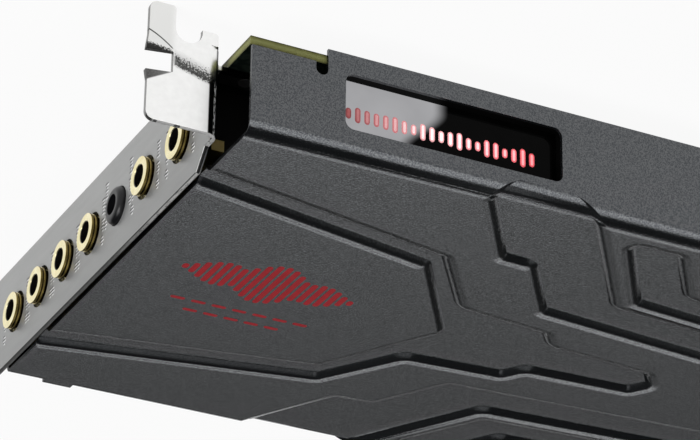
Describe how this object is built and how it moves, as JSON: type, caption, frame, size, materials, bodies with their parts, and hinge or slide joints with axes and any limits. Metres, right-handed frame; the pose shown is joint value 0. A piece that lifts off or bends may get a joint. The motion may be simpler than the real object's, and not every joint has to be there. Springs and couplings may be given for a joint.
{
  "type": "sound card",
  "caption": "Half-length sound card: slot bracket with a row of audio sockets, circuit board, and an embossed dark sheet cover with a lit window in its upper wall.",
  "frame": {"origin": "on the axis of the bracket's screw notch, level with the underside of the tab", "axes": "+X from the bracket to the far end, +Y to the card's upper edge, +Z out of the component side"},
  "size_m": [0.1791, 0.1272, 0.0237],
  "materials": {
    "cover_paint": "fine matte powder coat",
    "bracket_nickel": "satin nickel plate",
    "socket_gold": "bright gold plate",
    "can_gold": "satin gold plate",
    "socket_plastic": "moulded",
    "pin_tin": "tinned",
    "dark_plastic": "satin moulded",
    "board_laminate": "solder mask over laminate",
    "contact_gold": "gold plate",
    "frame_plastic": "moulded",
    "lens_acrylic": "polished",
    "guide_acrylic": "frosted",
    "lamp": "cast resin",
    "screw_steel": "plated",
    "post_steel": "plated",
    "chip_epoxy": "moulded",
    "relay_plastic": "moulded",
    "film_plastic": "moulded",
    "capacitor_can": "drawn",
    "crystal_can": "drawn",
    "coil_ferrite": "pressed",
    "ceramic": "fired"
  },
  "bodies": {
    "root": {"shield_cover": "cover_paint", "slot_bracket": "bracket_nickel", "socket_1_bushing": "socket_gold", "socket_2_bushing": "socket_gold", "socket_3_bushing": "socket_gold", "socket_4_bushing": "socket_gold", "socket_5_bushing": "socket_gold", "socket_6_bushing": "socket_gold", "socket_1_can": "can_gold", "socket_2_can": "can_gold", "socket_3_can": "can_gold", "socket_4_can": "can_gold", "socket_5_can": "can_gold", "socket_6_can": "can_gold", "socket_1_body": "socket_plastic", "socket_2_body": "socket_plastic", "socket_3_body": "socket_plastic", "socket_4_body": "socket_plastic", "socket_5_body": "socket_plastic", "socket_6_body": "socket_plastic", "socket_1_pins": "pin_tin", "socket_2_pins": "pin_tin", "socket_3_pins": "pin_tin", "socket_4_pins": "pin_tin", "socket_5_pins": "pin_tin", "socket_6_pins": "pin_tin", "dark_socket_pins": "pin_tin", "dark_socket_body": "dark_plastic", "circuit_board": "board_laminate", "light_board": "board_laminate", "edge_contacts": "contact_gold", "window_frame": "frame_plastic", "window_lens": "lens_acrylic", "light_guide": "guide_acrylic", "lamps": "lamp", "cover_screws": "screw_steel", "bracket_screws": "screw_steel", "cover_posts": "post_steel", "audio_processor": "chip_epoxy", "output_converter": "chip_epoxy", "input_converter": "chip_epoxy", "headphone_amplifier": "chip_epoxy", "op_amps": "chip_epoxy", "voltage_regulators": "chip_epoxy", "relays": "relay_plastic", "film_capacitors": "film_plastic", "signal_capacitors": "capacitor_can", "supply_capacitors": "capacitor_can", "clock_crystals": "crystal_can", "supply_coils": "coil_ferrite", "chip_capacitors": "ceramic"}
  },
  "joints": []
}
